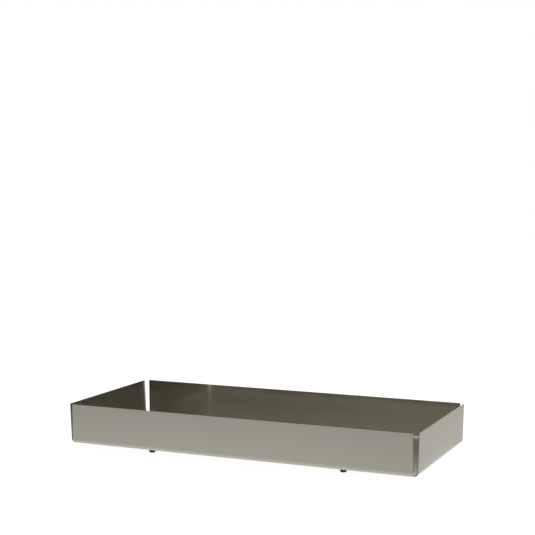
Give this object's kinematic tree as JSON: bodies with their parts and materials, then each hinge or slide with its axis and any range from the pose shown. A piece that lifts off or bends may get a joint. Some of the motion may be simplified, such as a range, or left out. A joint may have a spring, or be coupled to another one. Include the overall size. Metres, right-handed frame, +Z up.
{
  "type": "desk tray",
  "caption": "Long shallow open tray folded from one brushed steel sheet, with open corner slots, standing on short round black rubber feet.",
  "frame": {"origin": "on the tabletop under the middle of the tray, level with the undersides of the feet", "axes": "+X along the tray's length, towards its right end wall; +Y from the front long wall to the back one; +Z up, out of the open top"},
  "size_m": [0.38, 0.16, 0.0494],
  "materials": {
    "brushed_steel": "satin, grain along the sheet's length",
    "black_rubber": "matt moulded",
    "plated_steel": "zinc plated"
  },
  "bodies": {
    "root": {"tray_body": "brushed_steel", "foot_front_left": "black_rubber", "foot_front_right": "black_rubber", "foot_back_left": "black_rubber", "foot_back_right": "black_rubber", "stud_front_left": "plated_steel", "stud_front_right": "plated_steel", "stud_back_left": "plated_steel", "stud_back_right": "plated_steel"}
  },
  "joints": []
}
